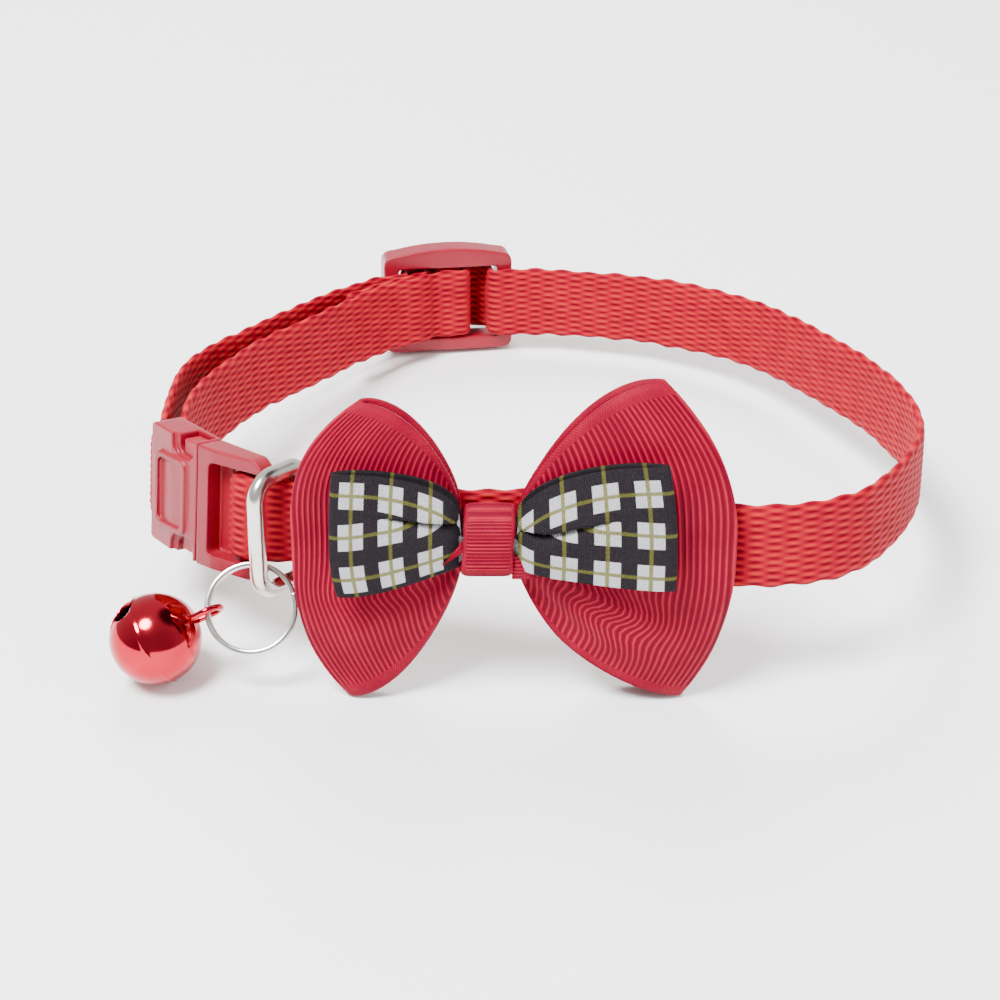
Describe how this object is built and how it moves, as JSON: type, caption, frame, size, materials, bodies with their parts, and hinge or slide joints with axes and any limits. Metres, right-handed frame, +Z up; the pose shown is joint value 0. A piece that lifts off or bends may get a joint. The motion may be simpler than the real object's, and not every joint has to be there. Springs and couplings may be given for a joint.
{
  "type": "pet bow tie collar",
  "caption": "Narrow woven cat collar with a side release buckle, a sliding adjuster, a D-ring with a bell on a split ring, and a ribbon bow with a checked bow on top.",
  "frame": {"origin": "centre of the whole object's bounding box in plan, on the table it stands on", "axes": "+X to the right seen from the bow's side, -Y towards that viewer, +Z up; the collar stands on its lower edge"},
  "size_m": [0.0956, 0.099, 0.0378],
  "materials": {
    "red_webbing": "woven polyester webbing with a low sheen",
    "red_plastic": "moulded plastic, smooth and glossy",
    "red_ribbon": "ribbed grosgrain ribbon with a soft sheen",
    "checked_cloth": "plain weave cotton with a dark, white and olive check",
    "nickel_wire": "nickel plated, polished",
    "red_metal": "glossy metallic red plating",
    "steel_pellet": "plain"
  },
  "bodies": {
    "root": {"strap": "red_webbing", "slider": "red_plastic", "buckle_female": "red_plastic", "buckle_male": "red_plastic", "d_ring": "nickel_wire", "bow_ribbon": "red_ribbon", "check_bow": "checked_cloth", "centre_wrap": "red_ribbon", "split_ring": "nickel_wire", "bell": "red_metal", "bell_pellet": "steel_pellet"}
  },
  "joints": []
}
